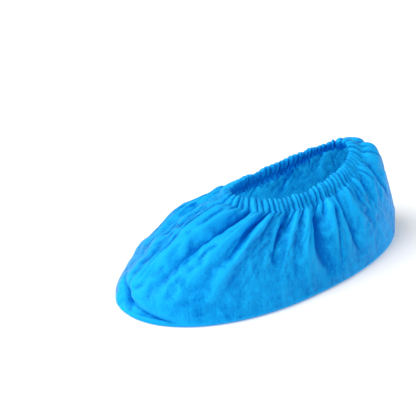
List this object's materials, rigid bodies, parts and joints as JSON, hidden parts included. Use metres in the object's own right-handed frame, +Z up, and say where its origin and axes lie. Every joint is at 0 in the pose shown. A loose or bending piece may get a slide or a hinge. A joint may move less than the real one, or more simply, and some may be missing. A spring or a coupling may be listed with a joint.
{
  "type": "disposable shoe cover",
  "caption": "Disposable shoe cover: a thin nonwoven pouch with a flat oval sole and a gathered elastic mouth, open for a shoe to go in.",
  "frame": {"origin": "on the floor, under the middle of the cover's bounding box", "axes": "+Y from the toe to the heel, +X across the cover, +Z up out of the mouth"},
  "size_m": [0.1514, 0.3, 0.0924],
  "materials": {
    "nonwoven_cloth": "semi-gloss embossed nonwoven film cloth",
    "elastic_rubber": "matt"
  },
  "bodies": {
    "root": {"cloth_sheet": "nonwoven_cloth", "gathered_hem": "nonwoven_cloth", "elastic_band": "elastic_rubber"}
  },
  "joints": []
}
